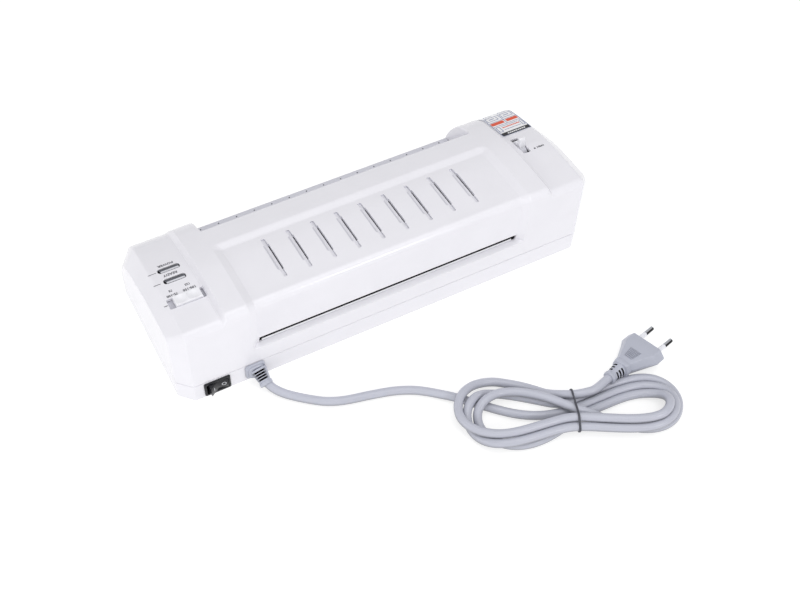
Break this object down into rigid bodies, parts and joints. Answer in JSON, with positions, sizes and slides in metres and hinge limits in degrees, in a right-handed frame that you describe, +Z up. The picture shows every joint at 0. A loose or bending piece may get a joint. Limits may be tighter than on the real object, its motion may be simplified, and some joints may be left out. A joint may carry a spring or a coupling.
{
  "type": "pouch laminator",
  "caption": "Desktop pouch laminator: white wedge casing with vent grooves, feed tray, geared rollers, lever, slider, rocker switch and a folded mains lead with plug.",
  "frame": {"origin": "on the table, under the middle of the machine without its mains lead", "axes": "+X along the machine with the rocker switch on the -X half, -Y towards the exit slot, +Z up"},
  "size_m": [0.3654, 0.319, 0.088],
  "materials": {
    "casing_white": "fine satin moulded plastic",
    "tray_grey": "smooth light grey plastic",
    "guide_bright": "white painted strip",
    "cap_white": "smooth glossy plastic",
    "lamp_grey": "smoky clear lens",
    "label_print": null,
    "switch_black": "black moulded plastic",
    "foot_rubber": "soft dark rubber",
    "cord_grey": "light blue-grey flexible PVC",
    "tie_dark": "dark plastic-coated wire tie",
    "pin_metal": "plated contact pin",
    "steel": "plain steel",
    "aluminium": "extruded aluminium",
    "heat_rubber": "red-brown silicone sleeve",
    "exit_rubber": "dark rubber sleeve",
    "gear_plastic": "ivory gear plastic",
    "bush_plastic": "bearing plastic",
    "board_green": "green circuit board",
    "can_dark": "dark moulded thermostat"
  },
  "bodies": {
    "casing": {"base_tray": "casing_white", "case_screw_far_left": "steel", "case_screw_far_right": "steel", "case_screw_near_left": "steel", "case_screw_near_right": "steel", "control_board": "board_green", "cord_boot": "cord_grey", "cord_hank": "cord_grey", "cord_lead": "cord_grey", "cord_tail": "cord_grey", "cord_tie": "tie_dark", "drive_motor": "steel", "exit_bush_lower_left": "bush_plastic", "exit_bush_lower_right": "bush_plastic", "exit_bush_upper_left": "bush_plastic", "exit_bush_upper_right": "bush_plastic", "exit_guide": "guide_bright", "far_stay": "steel", "feed_tray": "tray_grey", "foot_far_left": "foot_rubber", "foot_far_right": "foot_rubber", "foot_near_left": "foot_rubber", "foot_near_right": "foot_rubber", "heat_bush_lower_left": "bush_plastic", "heat_bush_lower_right": "bush_plastic", "heat_bush_upper_left": "bush_plastic", "heat_bush_upper_right": "bush_plastic", "idler_pin": "steel", "instruction_label": "label_print", "left_pressure_spring": "steel", "left_side_frame": "steel", "lever_pin": "steel", "lower_heater": "aluminium", "mode_switch": "steel", "near_stay": "steel", "plug_body": "cord_grey", "plug_pin_far": "pin_metal", "plug_pin_near": "pin_metal", "power_lamp_lens": "lamp_grey", "ready_lamp_lens": "lamp_grey", "right_pressure_spring": "steel", "right_side_frame": "steel", "switch_bezel": "switch_black", "thermostat": "can_dark", "top_cover": "casing_white", "upper_heater": "aluminium"},
    "rocker": {"switch_rocker": "switch_black"},
    "slider": {"mode_slider_knob": "cap_white"},
    "lever": {"release_lever": "cap_white"},
    "heat_lower": {"heat_roller_lower": "heat_rubber", "heat_gear_lower": "gear_plastic"},
    "heat_upper": {"heat_roller_upper": "heat_rubber", "heat_gear_upper": "gear_plastic"},
    "idler": {"idler_gear": "gear_plastic"},
    "exit_lower": {"exit_roller_lower": "exit_rubber", "exit_gear_lower": "gear_plastic"},
    "exit_upper": {"exit_roller_upper": "exit_rubber", "exit_gear_upper": "gear_plastic"},
    "pinion": {"motor_pinion": "gear_plastic"}
  },
  "joints": [
    {"name": "power_rocker_tilt", "type": "hinge", "parent": "casing", "child": "rocker", "pos_m": [-0.15095, -0.063, 0.01135], "axis": [0, 0, 1], "range_deg": [-24, 0]},
    {"name": "mode_slider_travel", "type": "slide", "parent": "casing", "child": "slider", "axis": [1, 0, 0], "range_m": [-0.0044, 0.0023]},
    {"name": "release_lever_swing", "type": "hinge", "parent": "casing", "child": "lever", "pos_m": [0.14765, -0.003, 0.0655], "axis": [1, 0, 0], "range_deg": [0, 24]},
    {"name": "heat_roller_lower_spin", "type": "hinge", "parent": "casing", "child": "heat_lower", "pos_m": [0, -0.0005, 0.0313], "axis": [1, 0, 0], "continuous": true},
    {"name": "heat_roller_upper_spin", "type": "hinge", "parent": "casing", "child": "heat_upper", "pos_m": [0, -0.0005, 0.0517], "axis": [1, 0, 0], "continuous": true},
    {"name": "idler_spin", "type": "hinge", "parent": "casing", "child": "idler", "pos_m": [0, -0.0184, 0.0272], "axis": [1, 0, 0], "continuous": true},
    {"name": "exit_roller_lower_spin", "type": "hinge", "parent": "casing", "child": "exit_lower", "pos_m": [0, -0.0335, 0.03334], "axis": [1, 0, 0], "continuous": true},
    {"name": "exit_roller_upper_spin", "type": "hinge", "parent": "casing", "child": "exit_upper", "pos_m": [0, -0.0335, 0.04966], "axis": [1, 0, 0], "continuous": true},
    {"name": "motor_pinion_spin", "type": "hinge", "parent": "casing", "child": "pinion", "pos_m": [0, 0.01405, 0.02657], "axis": [1, 0, 0], "continuous": true}
  ],
  "couplings": [
    {"joint": "heat_roller_upper_spin", "follows": "heat_roller_lower_spin", "ratio": -1},
    {"joint": "idler_spin", "follows": "heat_roller_lower_spin", "ratio": -1.25},
    {"joint": "exit_roller_lower_spin", "follows": "heat_roller_lower_spin", "ratio": 1.25},
    {"joint": "exit_roller_upper_spin", "follows": "heat_roller_lower_spin", "ratio": -1.25},
    {"joint": "motor_pinion_spin", "follows": "heat_roller_lower_spin", "ratio": -2}
  ]
}
